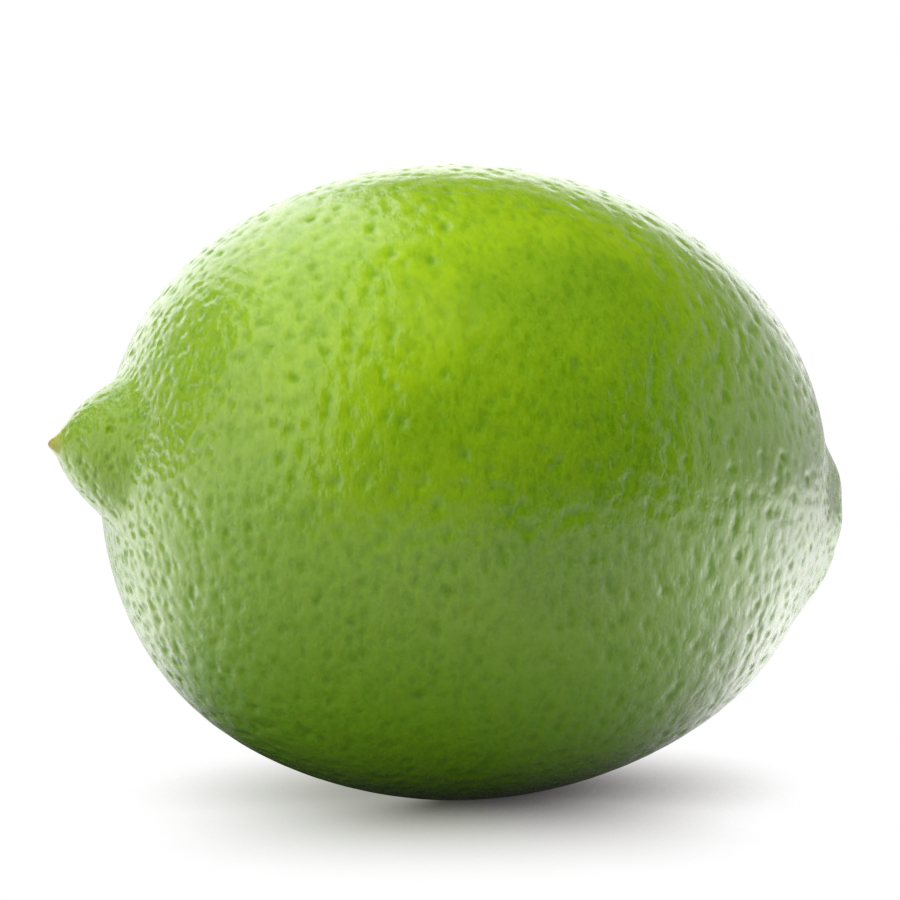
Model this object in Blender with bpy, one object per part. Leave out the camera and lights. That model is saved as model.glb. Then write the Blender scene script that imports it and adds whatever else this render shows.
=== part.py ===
"""A whole lime, lying on its side where it would come to rest on a table.

The fruit grew as one piece, so it is one solid. Its body is close to an ellipsoid. A blunt nipple
stands on its flower end, at -X, and a low collar round the stem's button stands on its other end,
at +X. Both lie on one line, the pole line, which rises towards the nipple a little more steeply
than the body's own long axis does. The peel is dimpled all over, larger than life, and a small flat
spot underneath is what the fruit rests on.

Metres, +Z up. The origin is the middle of the flat spot.
"""

import math

import bmesh
import bpy
import numpy as np

# Body.
BODY_HALF_LENGTH = 0.0301
BODY_HALF_DEPTH = 0.0255
BODY_HALF_HEIGHT = 0.0257
BODY_PITCH = math.radians(3.8)
POLE_PITCH = math.radians(7.2)

# Places where the body is fuller than the ellipsoid, or leaner: direction, height, breadth.
BULGES = (
    ((-0.80, 0.0, 0.60), 0.0003, math.radians(30)),
    ((-0.97, 0.0, -0.25), -0.0006, math.radians(25)),
    ((-0.80, 0.0, -0.60), 0.0005, math.radians(25)),
    ((0.35, 0.0, -0.94), -0.0005, math.radians(30)),
    ((0.80, 0.0, -0.60), 0.0006, math.radians(25)),
    ((0.97, 0.0, 0.25), 0.0002, math.radians(25)),
)

# Nipple, a blunt cone whose flanks steepen away from the tip.
NIPPLE_TIP = 0.0335  # from the body's middle, along the pole line
NIPPLE_RADIUS = 0.0052
NIPPLE_DROP = 0.0040  # how far the flank has fallen at that radius
NIPPLE_LEAN = 0.03  # share by which it is broader above the pole line and narrower below
NIPPLE_FLANK_POWER = 1.75
NIPPLE_CREASE = 0.00045  # softness of the crease where it meets the body
STYLE_RADIUS = 0.0007  # the dried end of the flower's style, on the very tip
STYLE_HEIGHT = 0.0007

# Stem end: a collar, a crater in it, and the button that the stem left in the crater.
COLLAR_RADIUS = 0.0072
COLLAR_HEIGHT = 0.0023
COLLAR_LEAN = 0.12  # share by which it is broader below the pole line and narrower above
CRATER_RADIUS = 0.0029
CRATER_DEPTH = 0.0011
BUTTON_RADIUS = 0.0019
BUTTON_HEIGHT = 0.0007
FURROW_COUNT = 7
FURROW_DEPTH = 0.00015

# Round what stands on them, both ends of the body are a little flat.
END_FLATTENING = 0.0009
END_FLAT_RADIUS = 0.0117

# Peel.
SWELLING_HEIGHT = 0.00012
SWELLING_WAVES = (4, 6, 9)  # waves round the fruit, from broad to narrow
PIT_COUNT = 640
PIT_DEPTH = 0.00045
PIT_RADIUS = 0.0015
PIT_SCATTER = 0.014  # how far pits stray from even spacing, as a share of the fruit's radius
PIT_CROWDING = 3.5  # how much closer the pits stand at the two ends than round the middle
PIT_CROWDING_ANGLE = math.radians(17)
SEED = 11

FLAT_DEPTH = 0.00042  # how much of the underside the flat spot takes off

GOLDEN_ANGLE = math.pi * (3 - math.sqrt(5))


def bell(distance, radius, power=2):
    """1 at no distance, falling smoothly to nothing beyond the radius. A higher power is flatter on top."""
    return np.exp(-np.abs(distance / radius) ** power)


def smooth_max(a, b, softness):
    """The larger of two heights, with the crease where they cross rounded off."""
    return np.maximum(a, b) + softness * np.log1p(np.exp(-np.abs(a - b) / softness))


def pitched_frame(pitch):
    """Unit vectors: an axis that rises by the pitch towards -X, one level across it, and one below it."""
    axis = np.array([-math.cos(pitch), 0.0, math.sin(pitch)])
    side = np.array([0.0, 1.0, 0.0])
    return axis, side, np.cross(axis, side)


POLE_AXIS, POLE_SIDE, POLE_UNDER = pitched_frame(POLE_PITCH)


def even_directions(count):
    """Unit vectors in a golden-angle spiral about the pole line, even but closer at its two ends."""
    angle = np.linspace(0, math.pi, 2001)
    density = 1 + PIT_CROWDING * bell(np.minimum(angle, math.pi - angle), PIT_CROWDING_ANGLE)
    share = np.cumsum(density * np.sin(angle))
    from_pole = np.interp((np.arange(count) + 0.5) / count, share / share[-1], angle)
    turn = GOLDEN_ANGLE * np.arange(count)
    return (
        np.outer(np.cos(from_pole), POLE_AXIS)
        + np.outer(np.sin(from_pole) * np.cos(turn), POLE_SIDE)
        + np.outer(np.sin(from_pole) * np.sin(turn), POLE_UNDER)
    )


def body_points(directions):
    """Where the directions meet the ellipsoid, and how the surface faces there."""
    long_axis, side, under = pitched_frame(BODY_PITCH)
    along, aside, below = directions @ long_axis, directions @ side, directions @ under
    points = (
        np.outer(along * BODY_HALF_LENGTH, long_axis)
        + np.outer(aside * BODY_HALF_DEPTH, side)
        + np.outer(below * BODY_HALF_HEIGHT, under)
    )
    outward = (
        np.outer(along / BODY_HALF_LENGTH, long_axis)
        + np.outer(aside / BODY_HALF_DEPTH, side)
        + np.outer(below / BODY_HALF_HEIGHT, under)
    )
    return points, outward / np.linalg.norm(outward, axis=1)[:, None]


def bulge(directions):
    """Height of the body's fuller and leaner places over the ellipsoid."""
    height = np.zeros(len(directions))
    for towards, rise, breadth in BULGES:
        towards = np.array(towards) / np.linalg.norm(towards)
        height += rise * bell(np.arccos(np.clip(directions @ towards, -1, 1)), breadth)
    return height


def swelling(directions):
    """Height of the peel's broad uneven swellings: soft waves in random directions."""
    random = np.random.default_rng(SEED)
    height = np.zeros(len(directions))
    for waves in np.repeat(SWELLING_WAVES, 4):
        axis = random.normal(size=3)
        phase = random.uniform(0, 2 * math.pi)
        height += np.cos(waves * (directions @ axis) / np.linalg.norm(axis) + phase) / waves
    return SWELLING_HEIGHT * height


def nipple_rise(height, radius):
    """How far the nipple lifts a point at this height along the pole line and radius from it."""
    cone = NIPPLE_TIP - NIPPLE_DROP * (radius / NIPPLE_RADIUS) ** NIPPLE_FLANK_POWER
    return smooth_max(height, cone, NIPPLE_CREASE) - height + STYLE_HEIGHT * bell(radius, STYLE_RADIUS)


def stem_rise(radius, turn):
    """How far the collar, its crater, the button and the furrows lift a point along the pole line."""
    collar = COLLAR_HEIGHT * bell(radius, COLLAR_RADIUS, 4)
    crater = CRATER_DEPTH * bell(radius, CRATER_RADIUS, 4)
    button = BUTTON_HEIGHT * bell(radius, BUTTON_RADIUS, 6)
    furrows = FURROW_DEPTH * bell(radius - COLLAR_RADIUS, CRATER_RADIUS) * (1 + np.cos(FURROW_COUNT * turn))
    return collar - crater + button - furrows


def skin(directions):
    """The undimpled skin in each direction: its points, how it faces, and how bare of pits it is."""
    points, outward = body_points(directions)
    points = points + outward * (bulge(directions) + swelling(directions))[:, None]
    height = np.abs(points @ POLE_AXIS)
    radius = np.hypot(points @ POLE_SIDE, points @ POLE_UNDER)
    turn = np.arctan2(points @ POLE_UNDER, points @ POLE_SIDE)
    at_nipple = points @ POLE_AXIS > 0
    radius = radius * (1 + np.where(at_nipple, NIPPLE_LEAN, -COLLAR_LEAN) * np.sin(turn))

    flattened = height - END_FLATTENING * bell(radius, END_FLAT_RADIUS)
    rise = np.where(at_nipple, nipple_rise(flattened, radius), stem_rise(radius, turn))
    shift = np.where(at_nipple, 1, -1) * (flattened + rise - height)
    bare = np.where(at_nipple, bell(radius, NIPPLE_RADIUS, 4), bell(radius, CRATER_RADIUS, 4))
    return points + np.outer(shift, POLE_AXIS), outward, bare


def skin_mesh():
    """The closed skin. It has a vertex at the bottom of each pit, and more for the rises between."""
    random = np.random.default_rng(SEED)
    directions = even_directions(PIT_COUNT)
    directions += random.normal(scale=PIT_SCATTER, size=directions.shape)
    shape = bmesh.new()
    for direction in directions / np.linalg.norm(directions, axis=1)[:, None]:
        shape.verts.new(direction)
    bmesh.ops.convex_hull(shape, input=shape.verts)
    bmesh.ops.subdivide_edges(shape, edges=shape.edges, cuts=2, use_grid_fill=True)

    directions = np.array([vertex.co.normalized() for vertex in shape.verts])
    points, outward, bare = skin(directions)
    centres = points[:PIT_COUNT]  # the vertices from before the subdivision come first
    depth = np.zeros(len(points))
    for centre, share in zip(centres, random.uniform(0.5, 1, PIT_COUNT)):
        depth = np.maximum(depth, share * bell(np.linalg.norm(points - centre, axis=1), PIT_RADIUS))
    above_flat = points[:, 2] - points[:, 2].min() - FLAT_DEPTH
    depth *= PIT_DEPTH * (1 - bare) * np.clip(above_flat / (2 * PIT_DEPTH), 0, 1)
    points -= outward * depth[:, None]
    for vertex, place in zip(shape.verts, points):
        vertex.co = place
    bmesh.ops.recalc_face_normals(shape, faces=shape.faces)
    return shape


def cut_flat_spot(shape):
    """Slices the underside off level, closes the cut, and moves the middle of it to the origin."""
    level = min(vertex.co.z for vertex in shape.verts) + FLAT_DEPTH
    bmesh.ops.bisect_plane(
        shape,
        geom=shape.verts[:] + shape.edges[:] + shape.faces[:],
        plane_co=(0, 0, level),
        plane_no=(0, 0, 1),
        clear_inner=True,
    )
    rim = [edge for edge in shape.edges if edge.is_boundary]
    flat = bmesh.ops.contextual_create(shape, geom=rim)["faces"][0]
    bmesh.ops.recalc_face_normals(shape, faces=shape.faces)
    bmesh.ops.translate(shape, verts=shape.verts, vec=-flat.calc_center_median_weighted())


def peel_material():
    material = bpy.data.materials.new("lime_peel")
    material.use_nodes = True
    green = (0.17, 0.34, 0.01, 1)
    shader = material.node_tree.nodes["Principled BSDF"]
    shader.inputs["Base Color"].default_value = green
    shader.inputs["Roughness"].default_value = 0.38
    shader.inputs["Metallic"].default_value = 0
    material.diffuse_color = green
    return material


def make_lime():
    shape = skin_mesh()
    cut_flat_spot(shape)
    mesh = bpy.data.meshes.new("lime")
    shape.to_mesh(mesh)
    shape.free()
    mesh.shade_smooth()
    mesh.materials.append(peel_material())
    collection = bpy.data.collections.new("Lime")
    bpy.context.scene.collection.children.link(collection)
    collection.objects.link(bpy.data.objects.new("lime", mesh))


def main():
    for thing in list(bpy.data.objects):
        bpy.data.objects.remove(thing, do_unlink=True)
    make_lime()


main()
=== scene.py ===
# %% [markdown]
# # A whole lime
#
# One fruit lies on its side on a pale table under soft studio light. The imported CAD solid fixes
# where the lime is and how big it is. This lesson builds the fine peel around that solid, gives it
# the colour and wax of a real lime, and lights it.

# %% Load the frame
import math

import bpy
import mathutils
import numpy as np
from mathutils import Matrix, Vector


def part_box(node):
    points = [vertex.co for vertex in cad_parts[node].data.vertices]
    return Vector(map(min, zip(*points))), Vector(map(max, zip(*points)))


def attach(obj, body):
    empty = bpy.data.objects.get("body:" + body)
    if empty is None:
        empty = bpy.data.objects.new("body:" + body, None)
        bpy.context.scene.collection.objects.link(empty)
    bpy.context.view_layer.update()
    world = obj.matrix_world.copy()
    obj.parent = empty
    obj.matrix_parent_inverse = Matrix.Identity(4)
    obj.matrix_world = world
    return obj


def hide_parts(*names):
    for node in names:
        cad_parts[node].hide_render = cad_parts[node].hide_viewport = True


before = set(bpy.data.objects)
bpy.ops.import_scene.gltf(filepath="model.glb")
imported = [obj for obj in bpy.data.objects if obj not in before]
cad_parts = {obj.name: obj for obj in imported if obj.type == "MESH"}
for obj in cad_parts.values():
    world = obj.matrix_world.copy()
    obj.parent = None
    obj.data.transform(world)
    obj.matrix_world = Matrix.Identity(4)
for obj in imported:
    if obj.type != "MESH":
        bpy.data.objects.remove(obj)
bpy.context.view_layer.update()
lime_low, lime_high = (np.array(corner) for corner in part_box("lime"))
print("the solid lime is", np.round(1000 * (lime_high - lime_low), 1), "mm")

# %% [markdown]
# ## The lime's own shape
#
# A lime is close to an ellipsoid with a blunt nipple on its flower end and a low collar round the
# stem's button on the other. It could be sculpted, or a sphere could be pushed about with
# modifiers. A formula is used instead: a direction goes in and a point on the skin comes out, so
# the same named values that made the solid make this finer skin, at any fineness.

# %% Sizes of the body, in metres, and of its broad swells
BODY_HALF_LENGTH = 0.0301
BODY_HALF_DEPTH = 0.0255
BODY_HALF_HEIGHT = 0.0257
BODY_PITCH = math.radians(3.8)
POLE_PITCH = math.radians(7.2)
BULGES = (
    ((-0.80, 0.0, 0.60), 0.0003, math.radians(30)),
    ((-0.97, 0.0, -0.25), -0.0006, math.radians(25)),
    ((-0.80, 0.0, -0.60), 0.0005, math.radians(25)),
    ((0.35, 0.0, -0.94), -0.0005, math.radians(30)),
    ((0.80, 0.0, -0.60), 0.0006, math.radians(25)),
    ((0.97, 0.0, 0.25), 0.0002, math.radians(25)),
)
SWELLING_HEIGHT = 0.00012
SWELLING_WAVES = (4, 6, 9)
WAVES_OF_A_KIND = 4
FLAT_DEPTH = 0.00042
SEED = 11


def bell(distance, radius, power=2):
    """A smooth hump: e to the minus (distance / radius) ** power."""
    return np.exp(-np.abs(distance / radius) ** power)


def smooth_max(a, b, softness):
    """The greater of a and b, rounded where they cross: max + s ln(1 + e ** (-|a - b| / s))."""
    return np.maximum(a, b) + softness * np.log1p(np.exp(-np.abs(a - b) / softness))


def pitched_frame(pitch):
    """Unit vectors: an axis rising by the pitch towards -X, one level across it, one under it."""
    axis = np.array([-math.cos(pitch), 0.0, math.sin(pitch)])
    side = np.array([0.0, 1.0, 0.0])
    return axis, side, np.cross(axis, side)


POLE_AXIS, POLE_SIDE, POLE_UNDER = pitched_frame(POLE_PITCH)


def body_points(directions):
    """Ellipsoid: each direction times the half sizes along the body's own axes, and the normal,
    which is the direction divided by them."""
    axes = np.array(pitched_frame(BODY_PITCH))
    halves = np.array([BODY_HALF_LENGTH, BODY_HALF_DEPTH, BODY_HALF_HEIGHT])
    along = directions @ axes.T
    outward = (along / halves) @ axes
    return (along * halves) @ axes, outward / np.linalg.norm(outward, axis=1)[:, None]


def bulge(directions):
    """Broad swells: the sum of height x bell(angle to the swell's own direction, breadth)."""
    height = np.zeros(len(directions))
    for towards, rise, breadth in BULGES:
        towards = np.array(towards) / np.linalg.norm(towards)
        height += rise * bell(np.arccos(np.clip(directions @ towards, -1, 1)), breadth)
    return height


def swelling(directions):
    """Uneven growth: twelve plane waves through the sphere, each weaker as it gets shorter."""
    random = np.random.default_rng(SEED)
    height = np.zeros(len(directions))
    for waves in np.repeat(SWELLING_WAVES, WAVES_OF_A_KIND):
        axis = random.normal(size=3)
        phase = random.uniform(0, 2 * math.pi)
        height += np.cos(waves * (directions @ axis) / np.linalg.norm(axis) + phase) / waves
    return SWELLING_HEIGHT * height


print("the body is", 2000 * BODY_HALF_LENGTH, "mm long without its nipple")

# %% [markdown]
# ## The two ends
#
# The nipple is a blunt cone that grows out of the body with a crease all round, and the dry stump
# of the flower's style sits on its tip. The stem end has a low furrowed collar, a crater and the
# button that the stem left. Each is a height along the pole line that depends on the distance from
# that line, like a profile turned on a lathe and then leaned a little.

# %% Sizes of the ends, in metres, and their profiles
NIPPLE_TIP = 0.0335
NIPPLE_RADIUS = 0.0052
NIPPLE_DROP = 0.0040
NIPPLE_LEAN = 0.03
NIPPLE_FLANK_POWER = 1.75
NIPPLE_CREASE = 0.00045
STYLE_RADIUS = 0.0007
STYLE_HEIGHT = 0.0007
COLLAR_RADIUS = 0.0072
COLLAR_HEIGHT = 0.0023
COLLAR_LEAN = 0.12
CRATER_RADIUS = 0.0029
CRATER_DEPTH = 0.0011
BUTTON_RADIUS = 0.0019
BUTTON_HEIGHT = 0.0007
FURROW_COUNT = 7
FURROW_DEPTH = 0.00015
STEEP, STEEPEST = 4, 6  # powers that give a bell a flat top and steep sides
END_FLATTENING = 0.0009
END_FLAT_RADIUS = 0.0117
BARE_NIPPLE_RADIUS = 0.0014


def nipple_rise(height, radius):
    """The greater of the body's height and a cone, tip - drop x (radius / nipple radius) ** power,
    less the body's height, plus a bell for the style."""
    cone = NIPPLE_TIP - NIPPLE_DROP * (radius / NIPPLE_RADIUS) ** NIPPLE_FLANK_POWER
    rise = smooth_max(height, cone, NIPPLE_CREASE) - height
    return rise + STYLE_HEIGHT * bell(radius, STYLE_RADIUS)


def stem_rise(radius, turn):
    """Collar - crater + button - furrows, all bells of the distance from the pole line."""
    collar = COLLAR_HEIGHT * bell(radius, COLLAR_RADIUS, STEEP)
    crater = CRATER_DEPTH * bell(radius, CRATER_RADIUS, STEEP)
    button = BUTTON_HEIGHT * bell(radius, BUTTON_RADIUS, STEEPEST)
    waves = 1 + np.cos(FURROW_COUNT * turn)
    furrows = FURROW_DEPTH * bell(radius - COLLAR_RADIUS, CRATER_RADIUS) * waves
    return collar - crater + button - furrows


def around_pole(points):
    """Height along the pole line, distance from it, angle round it, and whether at the nipple."""
    height, side, under = points @ POLE_AXIS, points @ POLE_SIDE, points @ POLE_UNDER
    return np.abs(height), np.hypot(side, under), np.arctan2(under, side), height > 0


def smooth_skin(directions):
    """Body + swells along the normal, then each end's rise along the pole line. Returns the
    points, the body's normals, and how bare of glands the skin is there, from 0 to 1."""
    points, outward = body_points(directions)
    points = points + outward * (bulge(directions) + swelling(directions))[:, None]
    height, radius, turn, at_nipple = around_pole(points)
    radius = radius * (1 + np.where(at_nipple, NIPPLE_LEAN, -COLLAR_LEAN) * np.sin(turn))
    flattened = height - END_FLATTENING * bell(radius, END_FLAT_RADIUS)
    rise = np.where(at_nipple, nipple_rise(flattened, radius), stem_rise(radius, turn))
    shift = np.where(at_nipple, 1, -1) * (flattened + rise - height)
    bare = bell(radius, np.where(at_nipple, BARE_NIPPLE_RADIUS, CRATER_RADIUS), STEEP)
    return points + np.outer(shift, POLE_AXIS), outward, bare


print("the nipple stands", round(1000 * (NIPPLE_TIP - BODY_HALF_LENGTH), 1), "mm past the body")

# %% [markdown]
# ## A grid over the whole fruit
#
# The peel is one closed surface, so its grid runs from pole to pole like a globe's. The two
# parameters are the angle from the nipple's pole and the turn round the pole line. Rows stand
# closer near the ends, where the shape changes fastest, and a single point closes each pole.

# %% Rows, columns and directions of the grid
ROWS = 249
COLUMNS = 400
ROW_CROWDING = 2.5
ROW_CROWDING_ANGLE = math.radians(10)
SUM_STEPS = 4001  # angles that a running sum from pole to pole is taken over


def crowded_angles(count, crowding, breadth):
    """Angles from pole to pole, crowded near both: equal shares of the running sum of
    1 + crowding x bell(angle to the nearer pole, breadth)."""
    angle = np.linspace(0, math.pi, SUM_STEPS)
    density = 1 + crowding * bell(np.minimum(angle, math.pi - angle), breadth)
    share = np.cumsum(density)
    return np.interp(np.arange(1, count + 1) / (count + 1), share / share[-1], angle)


def pole_directions(from_pole, turn):
    """cos a x axis + sin a cos t x side + sin a sin t x under."""
    return (np.multiply.outer(np.cos(from_pole), POLE_AXIS)
        + np.multiply.outer(np.sin(from_pole) * np.cos(turn), POLE_SIDE)
        + np.multiply.outer(np.sin(from_pole) * np.sin(turn), POLE_UNDER))


row_angle = crowded_angles(ROWS, ROW_CROWDING, ROW_CROWDING_ANGLE)
column_turn = 2 * math.pi * np.arange(COLUMNS) / COLUMNS
grid_angle, grid_turn = np.meshgrid(row_angle, column_turn, indexing="ij")
skin_directions = np.concatenate([
    pole_directions(grid_angle.ravel(), grid_turn.ravel()), [POLE_AXIS], [-POLE_AXIS]])
print(len(skin_directions), "points on the skin")


def grid_faces(rows, columns):
    """Corners of the quads between rows, and of the triangles that close the two poles."""
    index = np.arange(rows * columns).reshape(rows, columns)
    beside = np.roll(index, -1, axis=1)
    quads = np.stack([index[:-1], index[1:], beside[1:], beside[:-1]], axis=-1).reshape(-1, 4)
    first, last = np.full(columns, rows * columns), np.full(columns, rows * columns + 1)
    near = np.stack([first, index[0], beside[0]], axis=-1)
    far = np.stack([last, beside[-1], index[-1]], axis=-1)
    return quads, np.concatenate([near, far])


quads, caps = grid_faces(ROWS, COLUMNS)
print(2 * len(quads) + len(caps), "triangles")

# %% [markdown]
# ## Oil glands
#
# Lime peel is dimpled because an oil gland lies under each pit. The glands keep nearly even
# distances and yet never line up, and no two pits are equally deep. A Voronoi texture would give
# such cells, but a list of real gland centres lets the mesh and the material use the same pits:
# points on a golden spiral are evenly spread, and a random step each breaks the spiral's lines.

# %% Where the glands are
GLAND_COUNT = 6200
GLAND_SCATTER = 0.0155
GLAND_CROWDING = 3.0
GLAND_CROWDING_ANGLE = math.radians(30)
GOLDEN_ANGLE = math.pi * (3 - math.sqrt(5))
WEAKEST_GLAND = 0.25
WEAKNESS_POWER = 1.6  # above 1, so that weak glands are commoner than strong ones
gland_random = np.random.default_rng(SEED)


def gland_density(angle):
    """How many times closer-packed the glands are at this angle from the nearer pole:
    1 + crowding x bell(angle, breadth)."""
    nearer = np.minimum(angle, math.pi - angle)
    return 1 + GLAND_CROWDING * bell(nearer, GLAND_CROWDING_ANGLE)


def spread_directions(count):
    """A golden-angle spiral from pole to pole: the k-th angle holds k equal shares of the running
    sum of sin(angle) x density."""
    angle = np.linspace(0, math.pi, SUM_STEPS)
    share = np.cumsum(gland_density(angle) * np.sin(angle))
    from_pole = np.interp((np.arange(count) + 0.5) / count, share / share[-1], angle)
    return pole_directions(from_pole, GOLDEN_ANGLE * np.arange(count))


gland_directions = spread_directions(GLAND_COUNT)
gland_directions += gland_random.normal(scale=GLAND_SCATTER, size=gland_directions.shape)
gland_directions /= np.linalg.norm(gland_directions, axis=1)[:, None]
gland_luck = gland_random.uniform(size=GLAND_COUNT)
gland_strength = WEAKEST_GLAND + (1 - WEAKEST_GLAND) * gland_luck ** WEAKNESS_POWER
gland_centres, _, _ = smooth_skin(gland_directions)
spacing = math.sqrt(4 * math.pi * BODY_HALF_DEPTH * BODY_HALF_LENGTH / GLAND_COUNT)
print(GLAND_COUNT, "glands, about", round(1000 * spacing, 2), "mm apart")

# %% Which glands are nearest
GLANDS_READ = ("first", "second", "third")
NEAREST_BLOCK = 400  # points measured at a time, so that the table of distances stays small


def nearest_glands(points):
    """The indices of the three gland centres nearest each point: those with the least
    |centre| ** 2 / 2 - point . centre, which orders them as their distances do."""
    half_square = 0.5 * (gland_centres ** 2).sum(axis=1)
    count = len(GLANDS_READ)
    found = []
    for block in np.array_split(points, max(1, len(points) // NEAREST_BLOCK)):
        ranking = half_square - block @ gland_centres.T
        found.append(np.argpartition(ranking, count, axis=1)[:, :count].astype(np.int32))
    return np.concatenate(found)


print("each point reads its", len(GLANDS_READ), "nearest glands")

# %% [markdown]
# ## The dimpled skin, set where the solid is
#
# Each point sinks by bells of its distances to the nearest glands. The fruit rests on a small flat
# spot, so everything below that level is pressed up to it. Then the skin is moved until its box
# and the solid's box share their middle and their floor.

# %% Sink the pits and place the skin
PIT_DEPTH = 0.00006
PIT_RADIUS = 0.00055


def sink_pits(points, outward, bare, tightness):
    """Point - normal x depth x the sum over its nearest glands of strength x
    bell(distance to the gland x tightness, radius), and nothing where the skin is bare of glands.
    Where the glands are closer together, the pits are as much narrower, and shallower."""
    share = np.zeros(len(points))
    for gland in nearest_glands(points).T:
        distance = np.linalg.norm(points - gland_centres[gland], axis=1)
        share += gland_strength[gland] * bell(distance * tightness, PIT_RADIUS)
    return points - outward * (PIT_DEPTH * share * (1 - bare) / tightness)[:, None]


skin_points, skin_outward, skin_bare = smooth_skin(skin_directions)
flat_level = skin_points[:, 2].min() + FLAT_DEPTH
skin_angle = np.append(grid_angle.ravel(), [0.0, math.pi])
skin_tightness = np.sqrt(gland_density(skin_angle))
skin_points = sink_pits(skin_points, skin_outward, skin_bare, skin_tightness)
skin_points[:, 2] = np.maximum(skin_points[:, 2], flat_level)
place = (lime_low + lime_high - skin_points.min(axis=0) - skin_points.max(axis=0)) / 2
place[2] = lime_low[2] - flat_level
skin_points += place
gland_centres = gland_centres + place
print("the skin is", np.round(1000 * np.ptp(skin_points, axis=0), 1), "mm, moved by",
    np.round(1000 * place, 2), "mm")


# %% Make the peel a mesh
END_ZONES = (  # name, whether at the nipple, reach from the pole line in metres, power of its bell
    ("style_end", True, 0.0011, 3),
    ("style_tip", True, 0.0003, 2),
    ("nipple", True, 0.0080, 4),
    ("stem_end", False, 0.0026, 6),
)


def make_piece(name, points, *face_sets):
    """A mesh object at the origin, with its place in its points, and smooth faces."""
    mesh = bpy.data.meshes.new(name)
    mesh.from_pydata(points, [], [face for faces in face_sets for face in faces.tolist()])
    mesh.shade_smooth()
    piece = bpy.data.objects.new(name, mesh)
    bpy.context.scene.collection.objects.link(piece)
    return piece


def write_attribute(piece, name, kind, domain, values):
    """Keeps one number or vector for each point or face, for the material to read."""
    layer = piece.data.attributes.new(name, kind, domain)
    layer.data.foreach_set("vector" if kind == "FLOAT_VECTOR" else "value",
        np.ascontiguousarray(values, np.float32).ravel())


peel = make_piece("peel", skin_points, quads, caps)
face_middle = np.concatenate([skin_points[quads].mean(axis=1), skin_points[caps].mean(axis=1)])
for which, gland in zip(GLANDS_READ, nearest_glands(face_middle).T):
    write_attribute(peel, f"{which}_gland", "FLOAT_VECTOR", "FACE", gland_centres[gland])
    write_attribute(peel, f"{which}_strength", "FLOAT", "FACE", gland_strength[gland])
write_attribute(peel, "tightness", "FLOAT", "POINT", skin_tightness)
_, pole_distance, _, at_nipple = around_pole(skin_points - place)
for zone, nipple_side, reach, power in END_ZONES:
    inside = (at_nipple == nipple_side) * bell(pole_distance, reach, power)
    write_attribute(peel, zone, "FLOAT", "POINT", inside)
write_attribute(peel, "bare", "FLOAT", "POINT", skin_bare)
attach(peel, "root")
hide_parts("lime")
print(peel.name, "has", len(peel.data.polygons), "faces")

# %% [markdown]
# ## Shader helpers
#
# A shader is a small network. These helpers place a node, set or link its inputs by name, and hand
# back its output, so each line below reads like the formula that it builds.


# %% Helpers for shader nodes
def socket_of(sockets, key):
    """A socket by its number, or the enabled one of that name."""
    if isinstance(key, int):
        return sockets[key]
    return next(socket for socket in sockets if socket.name == key and socket.enabled)


def add_node(tree, kind, inputs=(), **settings):
    """A node with its settings, and its inputs set to values or linked from other sockets."""
    node = tree.nodes.new(kind)
    for name, value in settings.items():
        setattr(node, name, value)
    for key, value in dict(inputs).items():
        socket = socket_of(node.inputs, key)
        if isinstance(value, bpy.types.NodeSocket):
            tree.links.new(value, socket)
        else:
            socket.default_value = value
    return node


def maths(tree, operation, a, b=0.0, clamp=False):
    """One step of arithmetic on the values a and b."""
    node = add_node(tree, "ShaderNodeMath", {0: a, 1: b}, operation=operation, use_clamp=clamp)
    return node.outputs[0]


def blend_colours(tree, share, a, b):
    """Colour a where the share is 0, b where it is 1, and a mix between."""
    return add_node(tree, "ShaderNodeMix", {0: share, 6: a, 7: b}, data_type="RGBA").outputs[2]


def spread(tree, value, low, high, to_low=0.0, to_high=1.0):
    """Maps low..high to new ends along a smooth step, and holds them outside."""
    ends = {0: value, 1: low, 2: high, 3: to_low, 4: to_high}
    return add_node(tree, "ShaderNodeMapRange", ends, interpolation_type="SMOOTHSTEP").outputs[0]


def noise(tree, place_on_piece, scale, detail=2.0, roughness=0.5):
    """Smooth noise round 1/2, with so many waves per metre, and finer ones laid over them."""
    return add_node(tree, "ShaderNodeTexNoise", {"Vector": place_on_piece, "Scale": scale,
        "Detail": detail, "Roughness": roughness}).outputs[0]


def new_material(name):
    """A material with an empty node tree, and that tree."""
    material = bpy.data.materials.new(name)
    material.use_nodes = True
    tree = material.node_tree
    tree.nodes.clear()
    return material, tree


print("helpers ready")

# %% [markdown]
# ## The peel's material
#
# Lime peel is waxy: a clear glossy coat lies over green skin. Oil glands show through as darker
# spots in the pits, and thin paler webs run between them. The colour goes from yellow-green on the
# top and front, which is painted light over a paler cheek that grew in the sun, to deep green round
# the rest; on the right side and in front that deeper green is painted shade. The relief is lower
# on top and towards the stem, where growth has drawn the skin taut. All this could be painted on an
# image, but distances to the real gland centres and a few noises give the same detail at any
# closeness.

# %% Where the shaded point is among its glands
material, tree = new_material("lime_peel")
on_peel = add_node(tree, "ShaderNodeTexCoord").outputs["Object"]
WARP_SCALE = 700.0  # waves per metre, so about 1.4 mm
WARP_DETAIL = 1.5
WARP_REACH = 0.00045  # metres
PIT_SHADE_RADIUS = 0.00052
GLAND_SPOT_RADIUS = 0.00042
ROUND_STRETCH = (1.25, 0.92, 0.92)


def read_attribute(name, output):
    return add_node(tree, "ShaderNodeAttribute", attribute_name=name).outputs[output]


def vector_maths(operation, a, b, output="Vector"):
    return add_node(tree, "ShaderNodeVectorMath", {0: a, 1: b}, operation=operation).outputs[output]


def warped(place_on_piece):
    """Place + (noise colour - 1/2) x reach, so that round pits grow ragged."""
    shove = add_node(tree, "ShaderNodeTexNoise",
        {"Vector": place_on_piece, "Scale": WARP_SCALE, "Detail": WARP_DETAIL}).outputs["Color"]
    shove = vector_maths("SUBTRACT", shove, (0.5, 0.5, 0.5))
    shove = vector_maths("MULTIPLY", shove, (WARP_REACH,) * 3)
    return vector_maths("ADD", place_on_piece, shove)


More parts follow.
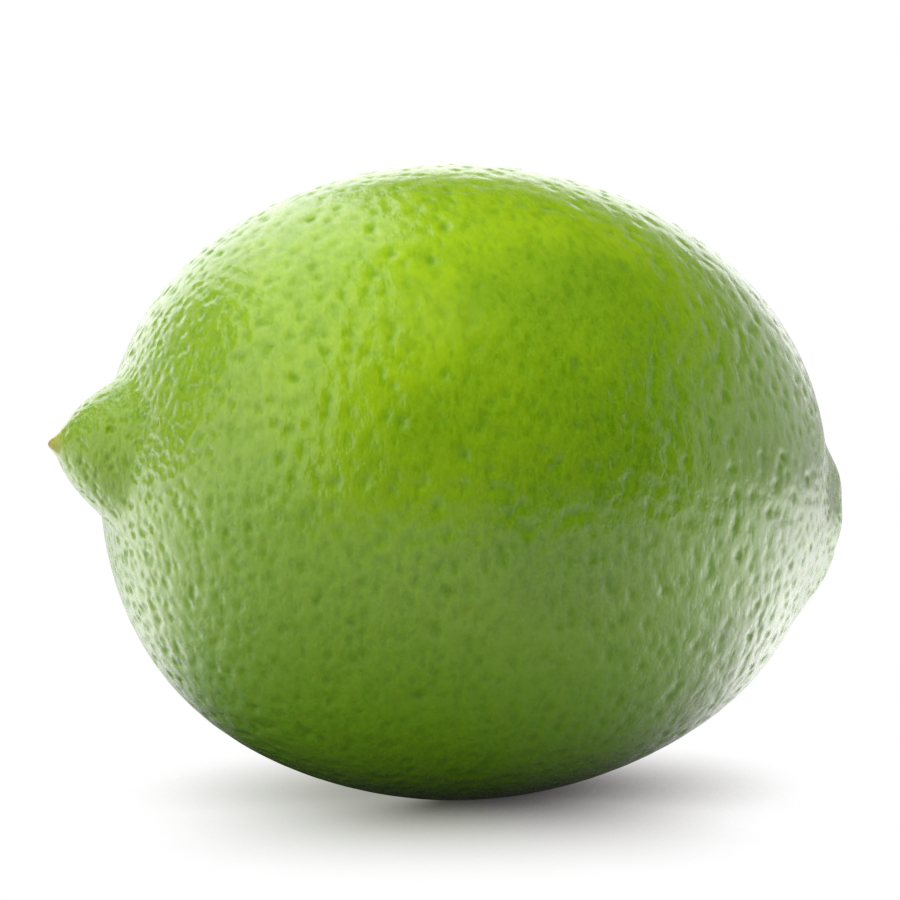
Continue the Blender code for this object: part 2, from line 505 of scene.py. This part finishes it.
def stretched(place_on_piece):
    """Place x stretch: growth has drawn the peel out round the fruit, so lengths along the
    fruit count for more and those round it for less."""
    return vector_maths("MULTIPLY", place_on_piece, ROUND_STRETCH)


def pits(radius):
    """The sum over the nearest glands of strength x e ** -(distance x tightness / radius) ** 2,
    and nothing where the skin is bare of glands."""
    total = None
    for which in GLANDS_READ:
        gland = stretched(read_attribute(f"{which}_gland", "Vector"))
        distance = vector_maths("DISTANCE", stretched(ragged), gland, "Value")
        ratio = maths(tree, "MULTIPLY", maths(tree, "DIVIDE", distance, radius), tightness)
        hump = maths(tree, "POWER", math.exp(-1), maths(tree, "MULTIPLY", ratio, ratio))
        hump = maths(tree, "MULTIPLY", hump, read_attribute(f"{which}_strength", "Fac"))
        total = hump if total is None else maths(tree, "ADD", total, hump)
    return maths(tree, "MULTIPLY", total, glandular)


glandular = maths(tree, "SUBTRACT", 1.0, read_attribute("bare", "Fac"))
tightness = read_attribute("tightness", "Fac")
ragged = warped(on_peel)
dimple = pits(PIT_SHADE_RADIUS)
spot = pits(GLAND_SPOT_RADIUS)
print("pits about", round(2000 * PIT_SHADE_RADIUS, 2), "mm across")

# %% Noises of the peel, from broad to fine
BROAD_SCALE, PATCH_SCALE, CREASE_SCALE, FINE_SCALE, GRAIN_SCALE = 75, 330, 900, 2300, 4200
NOISE_STRETCH = (1.5, 0.85, 0.85)
WEB_HALF_WIDTH = 0.22  # of the creases' noise, either side of its middle

broad = noise(tree, on_peel, BROAD_SCALE)
patchy = noise(tree, on_peel, PATCH_SCALE, 3.0, 0.55)
drawn_out = vector_maths("MULTIPLY", on_peel, NOISE_STRETCH)
creases = noise(tree, drawn_out, CREASE_SCALE)
from_middle = maths(tree, "ABSOLUTE", maths(tree, "SUBTRACT", creases, 0.5))
web = spread(tree, from_middle, 0.0, WEB_HALF_WIDTH, 1.0, 0.0)
fine = noise(tree, drawn_out, FINE_SCALE, 2.0, 0.55)
grain = noise(tree, on_peel, GRAIN_SCALE, 1.0)
print("the finest noise is", round(1000 / GRAIN_SCALE, 2), "mm across")

# %% Blotches with a noisy edge
EDGE_RAGGEDNESS = 0.5


def blotch(direction, low, high):
    """From 0 to 1 as the way out from the fruit's middle lines up with the direction: their
    cosine + (broad noise - 1/2) x raggedness, spread from low to high."""
    direction = np.array(direction) / np.linalg.norm(direction)
    out = vector_maths("SUBTRACT", on_peel, place.tolist())
    out = add_node(tree, "ShaderNodeVectorMath", {0: out}, operation="NORMALIZE").outputs[0]
    lined_up = vector_maths("DOT_PRODUCT", out, direction.tolist(), "Value")
    ragged_edge = maths(tree, "MULTIPLY", maths(tree, "SUBTRACT", broad, 0.5), EDGE_RAGGEDNESS)
    return spread(tree, maths(tree, "ADD", lined_up, ragged_edge), low, high)


# Painted light: a yellow-green pool over the top and front, laid on the fruit's own paler cheek.
sunny_cheek_and_painted_light = blotch((-0.14, -0.64, 0.755), 0.50, 0.98)
# Painted shade: the right side, turned away from the light, is made a deeper green.
deep = blotch((0.55, -0.85, 0.22), 0.80, 1.05)
# Painted shade: a darker green patch on the front of the fruit.
painted_shade_front = blotch((0.065, -0.955, 0.28), 0.80, 0.97)
far_end = blotch((0.86, -0.42, -0.28), 0.84, 1.0)
nipple_end = blotch((-1.0, -0.15, 0.12), 0.84, 0.98)
taut_top = blotch((-0.05, -0.38, 0.92), 0.60, 0.98)
taut_end = blotch((0.93, -0.15, 0.33), 0.70, 0.98)
print("the blotches' edges wander by", EDGE_RAGGEDNESS / 2, "either way")

# %% Greens of the peel, and the browns of its ends
GREEN = (0.255, 0.50, 0.002, 1)
# The yellow-green over the top and front is the fruit's paler cheek with painted light on it.
SUN_CHEEK_AND_PAINTED_LIGHT_GREEN = (0.47, 0.74, 0.002, 1)
LOW_GREEN = (0.165, 0.50, 0.002, 1)
# The deep green is the peel's own deeper tone in the noises, and painted shade in the deep blotch.
DEEP_GREEN = (0.185, 0.41, 0.002, 1)
# This darker green is painted shade on the front.
PAINTED_SHADE_GREEN = (0.14, 0.325, 0.002, 1)
FAR_GREEN = (0.13, 0.21, 0.015, 1)
END_GREEN = (0.33, 0.53, 0.004, 1)
GLAND_GREEN = (0.12, 0.34, 0.001, 1)
WEB_GREEN = (0.40, 0.66, 0.02, 1)
FLECK_OLIVE = (0.45, 0.50, 0.002, 1)
STYLE_YELLOW = (0.62, 0.58, 0.05, 1)
STYLE_BROWN = (0.50, 0.22, 0.04, 1)
STEM_WOOD = (0.30, 0.26, 0.10, 1)
print("the plain green is", GREEN[:3])

# %% Lay the colours over one another
LOW_FULL, LOW_NONE = 0.003, 0.022  # metres above the table where the low green is full, and gone
FLECK_SCALE = 520

above_table = add_node(tree, "ShaderNodeSeparateXYZ", {0: on_peel}).outputs["Z"]
low = spread(tree, above_table, LOW_FULL, LOW_NONE, 1.0, 0.0)
flecks = spread(tree, noise(tree, on_peel, FLECK_SCALE, 1.0), 0.62, 0.75)
colour_layers = (  # colour, where it lies, and how strongly, from the lowest layer to the top one
    (LOW_GREEN, low, 1.0),
    (DEEP_GREEN, deep, 0.6),
    (PAINTED_SHADE_GREEN, painted_shade_front, 0.9),
    (FAR_GREEN, far_end, 0.8),
    (END_GREEN, nipple_end, 0.7),
    (DEEP_GREEN, spread(tree, patchy, 0.42, 0.72), 0.35),
    (DEEP_GREEN, spread(tree, creases, 0.32, 0.52, 1.0, 0.0), 0.40),
    (WEB_GREEN, web, 0.36),
    (GLAND_GREEN, maths(tree, "DIVIDE", spot, tightness), 0.56),
    (DEEP_GREEN, spread(tree, fine, 0.35, 0.65), 0.22),
    (WEB_GREEN, spread(tree, grain, 0.45, 0.70), 0.25),
    (FLECK_OLIVE, maths(tree, "MULTIPLY", flecks, spot), 0.35),
    (STYLE_YELLOW, read_attribute("style_end", "Fac"), 0.8),
    (STYLE_BROWN, read_attribute("style_tip", "Fac"), 1.0),
    (STEM_WOOD, read_attribute("stem_end", "Fac"), 1.0),
)
# The first layer is painted light: yellow-green over the top and front.
green = blend_colours(tree, sunny_cheek_and_painted_light, GREEN, SUN_CHEEK_AND_PAINTED_LIGHT_GREEN)
for colour, where, strength in colour_layers:
    green = blend_colours(tree, maths(tree, "MULTIPLY", where, strength), green, colour)
print(len(colour_layers), "layers of colour over the first green")

# %% Relief of the peel
RELIEF = 0.000105  # metres for one unit of height
TAUT_SHARE = 0.5  # of the relief that is left where the skin is drawn taut
WRINKLE_SCALE = 850

wrinkles = noise(tree, drawn_out, WRINKLE_SCALE, 3.0, 0.6)
wrinkles = maths(tree, "MULTIPLY", wrinkles, read_attribute("nipple", "Fac"))
waves = ((web, 0.08), (creases, 1.0), (patchy, 0.5), (fine, 0.24), (wrinkles, 1.6))
height = maths(tree, "MULTIPLY", dimple, -1.0)
for wave, tallness in waves:
    height = maths(tree, "ADD", height, maths(tree, "MULTIPLY", wave, tallness))
taut = maths(tree, "MAXIMUM", taut_top, taut_end)
height = maths(tree, "MULTIPLY", height, spread(tree, taut, 0.0, 1.0, 1.0, TAUT_SHARE))
bump = add_node(tree, "ShaderNodeBump", {"Height": height, "Distance": RELIEF}).outputs[0]
print("a full pit is", round(1e6 * RELIEF), "thousandths of a millimetre deep in the material")

# %% Roughness and wax of the peel
SMOOTHEST, ROUGHEST = 0.22, 0.32
SPOT_ROUGHNESS = 0.2  # added over a gland
SPOT_WAX_LOSS = 0.75  # share of the wax that is missing over a gland

rough = spread(tree, fine, 0.3, 0.7, SMOOTHEST, ROUGHEST)
rough = maths(tree, "ADD", rough, maths(tree, "MULTIPLY", spot, SPOT_ROUGHNESS))
wax = maths(tree, "SUBTRACT", 1.0, maths(tree, "MULTIPLY", spot, SPOT_WAX_LOSS), clamp=True)
shader = add_node(tree, "ShaderNodeBsdfPrincipled", {"Base Color": green, "Roughness": rough,
    "IOR": 1.42, "Coat Weight": wax, "Coat Roughness": 0.16, "Coat IOR": 1.47,
    "Normal": bump, "Coat Normal": bump, "Subsurface Weight": 0.12,
    "Subsurface Scale": 0.0015, "Subsurface Radius": (0.6, 1.0, 0.2)})
add_node(tree, "ShaderNodeOutputMaterial", {"Surface": shader.outputs[0]})
peel.data.materials.append(material)
print("the peel's material has", len(tree.nodes), "nodes")

# %% [markdown]
# ## The camera
#
# The fruit is seen a little from above, with its nipple to the left and turned slightly away. A
# long lens from half a metre keeps the outline close to a true side view.

# %% Camera
CAMERA_AZIMUTH = math.radians(-16)
CAMERA_ELEVATION = math.radians(7)
CAMERA_DISTANCE = 0.5
LENS, SENSOR_WIDTH = 248.9, 36  # millimetres
AIM_LEFT, AIM_UP = 0.00094, 0.002625  # from the body's middle to what the camera aims at

flat_back = np.array([math.sin(CAMERA_AZIMUTH), -math.cos(CAMERA_AZIMUTH), 0.0])
up = np.array([0.0, 0.0, 1.0])
camera_back = math.cos(CAMERA_ELEVATION) * flat_back + math.sin(CAMERA_ELEVATION) * up
camera_right = np.array([math.cos(CAMERA_AZIMUTH), math.sin(CAMERA_AZIMUTH), 0.0])
camera_up = np.cross(camera_back, camera_right)
left = -camera_right
aim = place + AIM_LEFT * left + AIM_UP * camera_up
camera = bpy.data.cameras.new("camera")
camera.lens = LENS
camera.sensor_width = SENSOR_WIDTH
camera_object = bpy.data.objects.new("camera", camera)
turned = mathutils.Matrix(np.array([camera_right, camera_up, camera_back]).T.tolist()).to_4x4()
stand = mathutils.Matrix.Translation(aim + CAMERA_DISTANCE * camera_back)
camera_object.matrix_world = stand @ turned
bpy.context.scene.collection.objects.link(camera_object)
bpy.context.scene.camera = camera_object
bpy.context.scene.view_settings.view_transform = "Standard"
print("the camera stands", np.round(camera_object.matrix_world.translation, 3))

# %% [markdown]
# ## The floor
#
# The table is plain white and lit so strongly that it shows as white but for the soft dark patch
# where the fruit shuts the light out. Shadows from many real lamps would be noisy, so the floor
# shines by itself, by how open to the sky each point is. What the wax mirrors of the floor is not
# one even white: a studio floor is dim in front, bright at both sides, and dark close to the fruit.

# %% Floor and the directions on it
FLOOR_HALF = 3.0
SHADE_REACH = 0.10
SHADE_SAMPLES = 16

floor_points = FLOOR_HALF * np.array([[-1, -1, 0], [1, -1, 0], [1, 1, 0], [-1, 1, 0]], float)
floor = make_piece("floor", floor_points, np.array([[0, 1, 2, 3]]))
material, tree = new_material("floor")
rays = add_node(tree, "ShaderNodeLightPath").outputs
on_floor = add_node(tree, "ShaderNodeTexCoord").outputs["Object"]
open_sky = add_node(tree, "ShaderNodeAmbientOcclusion", {"Distance": SHADE_REACH},
    samples=SHADE_SAMPLES).outputs["AO"]
from_lime = vector_maths("SUBTRACT", on_floor, [float(place[0]), float(place[1]), 0.0])
heading = add_node(tree, "ShaderNodeVectorMath", {0: from_lime}, operation="NORMALIZE").outputs[0]
to_right = vector_maths("DOT_PRODUCT", heading, camera_right.tolist(), "Value")
to_front = vector_maths("DOT_PRODUCT", heading, flat_back.tolist(), "Value")
length = add_node(tree, "ShaderNodeVectorMath", {0: from_lime}, operation="LENGTH")
distance_out = length.outputs["Value"]
print("the floor is", 2 * FLOOR_HALF, "m wide")


# %% Mix and measure numbers in the floor's material
def mix(share, a, b):
    """a + (b - a) x share."""
    return maths(tree, "ADD", a, maths(tree, "MULTIPLY", maths(tree, "SUBTRACT", b, a), share))


def share_of_way(value, low, high):
    """(value - low) / (high - low), held between 0 and 1."""
    gone, whole = maths(tree, "SUBTRACT", value, low), maths(tree, "SUBTRACT", high, low)
    return maths(tree, "DIVIDE", gone, whole, clamp=True)


print("the floor's material has", len(tree.nodes), "nodes so far")

# %% What the wax mirrors of the floor
FRONT_LIGHT, LEFT_RISE, RIGHT_RISE, BEHIND_SHARE = 0.58, 1.70, 2.18, 0.38
FAR_START, FAR_FULL = 0.08, 0.38  # metres out from the fruit between which the floor dims
FAR_LEFT_SHARE, FAR_RIGHT_SHARE, FAR_FRONT_SHARE = 1.0, 0.5, 0.15
LEFT_SHUT, RIGHT_SHUT = 0.345, 0.0  # openness to the sky at which the floor is at its darkest
LEFT_OPEN, RIGHT_OPEN = 0.95, 0.93  # and at which it is fully lit
OPENNESS_POWER = 2.5
DARKEST = 0.02

left_light = spread(tree, to_front, 0.9, -0.3, FRONT_LIGHT, FRONT_LIGHT + LEFT_RISE)
right_light = spread(tree, to_front, 1.0, -0.2, FRONT_LIGHT, FRONT_LIGHT + RIGHT_RISE)
mirrored = mix(spread(tree, to_right, -0.3, 0.3), left_light, right_light)
mirrored = maths(tree, "MULTIPLY", mirrored, spread(tree, to_front, -0.3, -0.9, 1.0, BEHIND_SHARE))
far_share = mix(spread(tree, to_right, -0.1, 0.4), FAR_LEFT_SHARE, FAR_RIGHT_SHARE)
far_share = mix(spread(tree, to_front, 0.6, 0.92), far_share, FAR_FRONT_SHARE)
fading = spread(tree, distance_out, FAR_START, FAR_FULL, 1.0, far_share)
mirrored = maths(tree, "MULTIPLY", mirrored, fading)
shut = spread(tree, to_right, -0.3, 0.6, LEFT_SHUT, RIGHT_SHUT)
opened = spread(tree, to_right, -0.3, 0.6, LEFT_OPEN, RIGHT_OPEN)
openness = maths(tree, "POWER", share_of_way(open_sky, shut, opened), OPENNESS_POWER)
mirrored = mix(openness, DARKEST, mirrored)
print("mirrored, the floor is", FRONT_LIGHT, "in front and", FRONT_LIGHT + RIGHT_RISE, "at right")

# %% What the floor gives back to the skin
BOUNCE_LIGHT, BOUNCE_POWER = 0.62, 2.0
bounce = maths(tree, "MULTIPLY", maths(tree, "POWER", open_sky, BOUNCE_POWER), BOUNCE_LIGHT)
print("the open floor gives back", BOUNCE_LIGHT)

# %% What the floor shows
TABLE_WHITE = 1.01
SHADE_MIDDLE = 0.03  # openness to the sky at the middle of the shade
SIDE_CLEAR, FRONT_CLEAR = 0.57, 0.80  # and where the table is white again
LEFT_LEAST, RIGHT_LEAST = 0.33, 0.04  # light that is left at the middle of the shade
# Painted light: the green in the shade at left stands for light thrown back from the fruit.
LEFT_SHADE_TINT, RIGHT_SHADE_TINT = (0.96, 1.0, 0.82, 1), (1.0, 0.95, 0.93, 1)
WHITE = (1, 1, 1, 1)

clear = spread(tree, to_front, 0.4, 0.95, SIDE_CLEAR, FRONT_CLEAR)
least = spread(tree, to_right, -0.9, -0.2, LEFT_LEAST, RIGHT_LEAST)
shown = mix(share_of_way(open_sky, SHADE_MIDDLE, clear), least, 1.0)
shown = maths(tree, "MULTIPLY", shown, TABLE_WHITE)
shade_side = spread(tree, to_right, -0.1, 0.5)
shade_tint = blend_colours(tree, shade_side, LEFT_SHADE_TINT, RIGHT_SHADE_TINT)
tint = blend_colours(tree, shown, shade_tint, WHITE)
light = mix(rays["Is Glossy Ray"], bounce, mirrored)
light = mix(rays["Is Camera Ray"], light, shown)
shader = add_node(tree, "ShaderNodeEmission", {"Color": tint, "Strength": light})
add_node(tree, "ShaderNodeOutputMaterial", {"Surface": shader.outputs[0]})
material.cycles.emission_sampling = "NONE"
floor.data.materials.append(material)
print("the floor's material has", len(tree.nodes), "nodes")

# %% [markdown]
# ## The studio round the fruit
#
# The wax shows the studio: one tall soft panel of light on the left that reaches almost overhead,
# a lit wall on the right, low down, and a bright backdrop. Black lies between them. Each is a
# patch of sky between a few planes through the fruit, so it needs no objects and casts no noise.

# %% Where the lit parts of the studio lie, in degrees, and how bright they are
PANEL_LIGHT, PANEL_REAR_RISE, PANEL_REAR_TURN = 1.3, 0.75, 130
PANEL_RIGHT_EDGE, PANEL_REAR_EDGE, PANEL_TOP = 30, 169, 76
GAP_TURN, GAP_HEIGHT, GAP_RADIUS, GAP_EDGE, GAP_SHARE = 111, 21, 25, 3, 0.05
BACKDROP_LIGHT, BACKDROP_TOP, BACKDROP_HALF_WIDTH = 1.8, 26, 25
WALL_LIGHT, WALL_FOOT_RISE, WALL_EDGE, WALL_TOP, WALL_FOOT = 0.35, 0.72, 74, 38, 22
SKY_LIGHT, OVERHEAD_LIGHT = 0.01, 0.08
OVERHEAD_START, OVERHEAD_FULL = 0.7, 0.95  # sines of the heights between which it brightens

# How soft the edges are: half the width of each, as a sine.
SOFT_EDGE, PANEL_RIGHT_SOFTNESS, PANEL_TOP_SOFTNESS = 0.04, 0.11, 0.015
BACKDROP_TOP_SOFTNESS, WALL_EDGE_SOFTNESS = 0.03, 0.10
WALL_TOP_SOFTNESS, WALL_FOOT_SOFTNESS = 0.05, 0.12
print("the panel reaches from", PANEL_RIGHT_EDGE, "to", PANEL_REAR_EDGE, "degrees round the left")

# %% World, and the measures on its sky
world = bpy.data.worlds.new("studio")
bpy.context.scene.world = world
world.use_nodes = True
tree = world.node_tree
tree.nodes.clear()
towards = add_node(tree, "ShaderNodeTexCoord").outputs["Generated"]


def way(turn, height=0.0):
    """Unit vector: degrees of turn from the front towards the left, and degrees of height."""
    turn, height = math.radians(turn), math.radians(height)
    level = math.sin(turn) * left + math.cos(turn) * flat_back
    return math.cos(height) * level + math.sin(height) * up


def along(direction):
    """The cosine of the angle to the direction."""
    return vector_maths("DOT_PRODUCT", towards, direction.tolist(), "Value")


def side_of(direction, soft=SOFT_EDGE):
    """1 on the side of a plane through the fruit that the direction points to, 0 on the other."""
    return spread(tree, along(direction), -soft, soft)


def by_height(degrees, soft, under, over):
    """One value under that height and another over it, with an edge as soft as that."""
    middle = math.sin(math.radians(degrees))
    return spread(tree, along(up), middle - soft, middle + soft, under, over)


def times(*values):
    """The product of all the values."""
    product = values[0]
    for value in values[1:]:
        product = maths(tree, "MULTIPLY", product, value)
    return product


print("the front of the studio lies towards", np.round(way(0), 2))

# %% Panel, backdrop, wall and sky
gap_outer = math.cos(math.radians(GAP_RADIUS + GAP_EDGE))
gap_inner = math.cos(math.radians(GAP_RADIUS - GAP_EDGE))
panel = times(
    side_of(way(PANEL_RIGHT_EDGE + 90), PANEL_RIGHT_SOFTNESS),
    side_of(way(PANEL_REAR_EDGE - 90)),
    by_height(PANEL_TOP, PANEL_TOP_SOFTNESS, 1.0, 0.0),
    spread(tree, along(way(PANEL_REAR_TURN)), 0.0, 1.0, PANEL_LIGHT, PANEL_LIGHT + PANEL_REAR_RISE),
    spread(tree, along(way(GAP_TURN, GAP_HEIGHT)), gap_outer, gap_inner, 1.0, GAP_SHARE))
backdrop = times(
    side_of(way(180, BACKDROP_TOP - 90), BACKDROP_TOP_SOFTNESS),
    side_of(way(90 + 180 - BACKDROP_HALF_WIDTH)),
    side_of(way(180 + BACKDROP_HALF_WIDTH - 90)),
    BACKDROP_LIGHT)
wall = times(
    side_of(way(-WALL_EDGE - 90), WALL_EDGE_SOFTNESS),
    by_height(WALL_TOP, WALL_TOP_SOFTNESS, 1.0, 0.0),
    by_height(WALL_FOOT, WALL_FOOT_SOFTNESS, WALL_LIGHT + WALL_FOOT_RISE, WALL_LIGHT))
overhead = spread(tree, along(up), OVERHEAD_START, OVERHEAD_FULL,
    SKY_LIGHT, SKY_LIGHT + OVERHEAD_LIGHT)
studio = panel
for part in (backdrop, wall, overhead):
    studio = maths(tree, "MAXIMUM", studio, part)
print("the brightest part of the studio is", PANEL_LIGHT + PANEL_REAR_RISE)

# %% Plain white behind the fruit, and the studio's light on it
seen = add_node(tree, "ShaderNodeLightPath").outputs["Is Camera Ray"]
unseen = maths(tree, "SUBTRACT", 1.0, seen)
radiance = maths(tree, "ADD", maths(tree, "MULTIPLY", studio, unseen), seen)
background = add_node(tree, "ShaderNodeBackground", {"Strength": radiance})
add_node(tree, "ShaderNodeOutputWorld", {"Surface": background.outputs[0]})
print("the world has", len(tree.nodes), "nodes")

# %% [markdown]
# ## The lamp over the fruit
#
# The top of the fruit is its brightest part, and falls off quickly down the sides, so a small soft
# lamp hangs close over it, a little towards the camera. The wax would mirror it as a white disk
# that the panel already stands for, so glossy rays don't see it.

# %% Lamp over the fruit
LAMP_TURN, LAMP_HEIGHT = 5, 62  # degrees
LAMP_DISTANCE, LAMP_SIZE = 0.12, 0.06  # metres
LAMP_POWER = 0.056  # watts

lamp = bpy.data.lights.new("top_light", "AREA")
lamp.shape = "DISK"
lamp.size = LAMP_SIZE
lamp.energy = LAMP_POWER
lamp_object = bpy.data.objects.new("top_light", lamp)
to_lamp = way(LAMP_TURN, LAMP_HEIGHT)
lamp_object.location = place + LAMP_DISTANCE * to_lamp
lamp_object.rotation_euler = mathutils.Vector(to_lamp).to_track_quat("Z", "Y").to_euler()
lamp_object.visible_glossy = False
lamp_object.visible_camera = False
bpy.context.scene.collection.objects.link(lamp_object)
print("the lamp gives", lamp.energy, "W")
